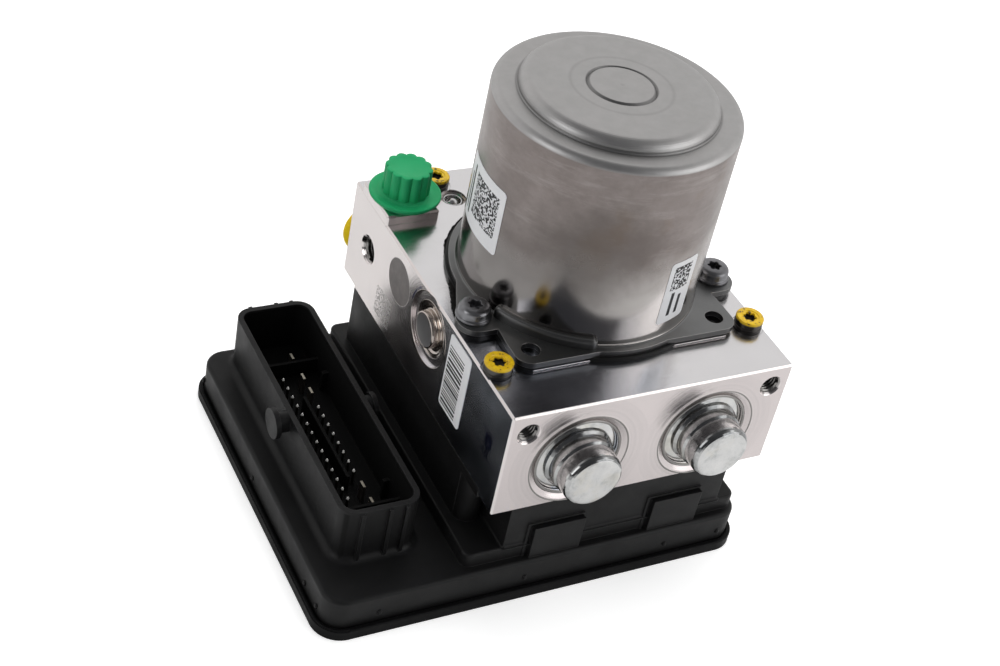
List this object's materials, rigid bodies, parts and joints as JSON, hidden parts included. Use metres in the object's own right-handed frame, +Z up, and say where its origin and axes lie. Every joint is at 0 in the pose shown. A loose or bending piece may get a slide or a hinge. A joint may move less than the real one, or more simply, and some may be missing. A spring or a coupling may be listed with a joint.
{
  "type": "brake pressure control module",
  "caption": "Brake pressure control module: drilled metal valve block with an upright pump motor, end caps, port plugs and a black control unit with its plug shroud.",
  "frame": {"origin": "on the motor's axis, in the plane of the control unit cover's underside, on which the module stands", "axes": "+Z up along the motor's axis, -Y out of the face with the two round accumulator caps, -X towards the plug shroud"},
  "size_m": [0.1462, 0.1322, 0.1451],
  "materials": {
    "black_plastic": "moulded, matte",
    "cover_plastic": "moulded, matte",
    "seal_rubber": "matte",
    "pin_metal": "plated",
    "blade_metal": "tinned",
    "board": "lacquered",
    "chip": "matte",
    "coil": "satin",
    "valve_steel": "turned",
    "machined_aluminium": "milled, bright",
    "yellow_zinc": "passivated",
    "can_steel": "galvanised, deep drawn",
    "holder_plastic": "moulded, matte",
    "screw_steel": "dark zinc",
    "magnet": "sintered",
    "steel": "ground",
    "core_steel": "stamped",
    "copper": "enamelled",
    "carbon": "pressed",
    "zinc_cap": "bright zinc",
    "plug_aluminium": "turned",
    "damper_metal": "matte grey",
    "green_plastic": "moulded",
    "yellow_plastic": "moulded"
  },
  "bodies": {
    "module": {"ecu_cover": "cover_plastic", "ecu_housing": "black_plastic", "housing_seal": "seal_rubber", "connector_pins": "pin_metal", "connector_blades": "blade_metal", "circuit_board": "board", "board_chips": "chip", "solenoid_coils": "coil", "valve_cartridges": "valve_steel", "valve_block": "machined_aluminium", "housing_screws": "yellow_zinc", "motor_can": "can_steel", "motor_base_plate": "holder_plastic", "motor_screws": "screw_steel", "motor_magnets": "magnet", "motor_brushes": "carbon", "upper_bearing": "steel", "lower_bearing": "steel", "motor_terminals": "blade_metal", "pump_pistons": "steel", "pump_springs": "steel", "pump_plug_left": "plug_aluminium", "pump_plug_right": "plug_aluminium", "accumulator_spring_left": "steel", "accumulator_spring_right": "steel", "accumulator_cap_left": "zinc_cap", "accumulator_cap_right": "zinc_cap", "ball_seals": "steel", "damper_plug": "damper_metal"},
    "rotor": {"motor_shaft": "steel", "armature_core": "core_steel", "armature_winding": "copper", "commutator": "copper", "eccentric_ring": "steel"},
    "piston_left": {"accumulator_piston_left": "steel"},
    "piston_right": {"accumulator_piston_right": "steel"},
    "inlet_plug_left": {"inlet_plug_left": "green_plastic"},
    "inlet_plug_right": {"inlet_plug_right": "green_plastic"},
    "wheel_plug_1": {"wheel_plug_1": "yellow_plastic"},
    "wheel_plug_2": {"wheel_plug_2": "yellow_plastic"},
    "wheel_plug_3": {"wheel_plug_3": "yellow_plastic"},
    "wheel_plug_4": {"wheel_plug_4": "yellow_plastic"}
  },
  "joints": [
    {"name": "rotor_spin", "type": "hinge", "parent": "module", "child": "rotor", "pos_m": [0, 0, 0.1], "axis": [0, 0, 1], "continuous": true},
    {"name": "piston_left_slide", "type": "slide", "parent": "module", "child": "piston_left", "axis": [0, -1, 0], "range_m": [0, 0.006], "deforming": ["accumulator_spring_left"]},
    {"name": "piston_right_slide", "type": "slide", "parent": "module", "child": "piston_right", "axis": [0, -1, 0], "range_m": [0, 0.006], "deforming": ["accumulator_spring_right"]},
    {"name": "inlet_plug_left_pull", "type": "slide", "parent": "module", "child": "inlet_plug_left", "axis": [0, 0, 1], "range_m": [0, 0.02]},
    {"name": "inlet_plug_right_pull", "type": "slide", "parent": "module", "child": "inlet_plug_right", "axis": [0, 0, 1], "range_m": [0, 0.02]},
    {"name": "wheel_plug_1_pull", "type": "slide", "parent": "module", "child": "wheel_plug_1", "axis": [0, 1, 0], "range_m": [0, 0.02]},
    {"name": "wheel_plug_2_pull", "type": "slide", "parent": "module", "child": "wheel_plug_2", "axis": [0, 1, 0], "range_m": [0, 0.02]},
    {"name": "wheel_plug_3_pull", "type": "slide", "parent": "module", "child": "wheel_plug_3", "axis": [0, 1, 0], "range_m": [0, 0.02]},
    {"name": "wheel_plug_4_pull", "type": "slide", "parent": "module", "child": "wheel_plug_4", "axis": [0, 1, 0], "range_m": [0, 0.02]}
  ]
}
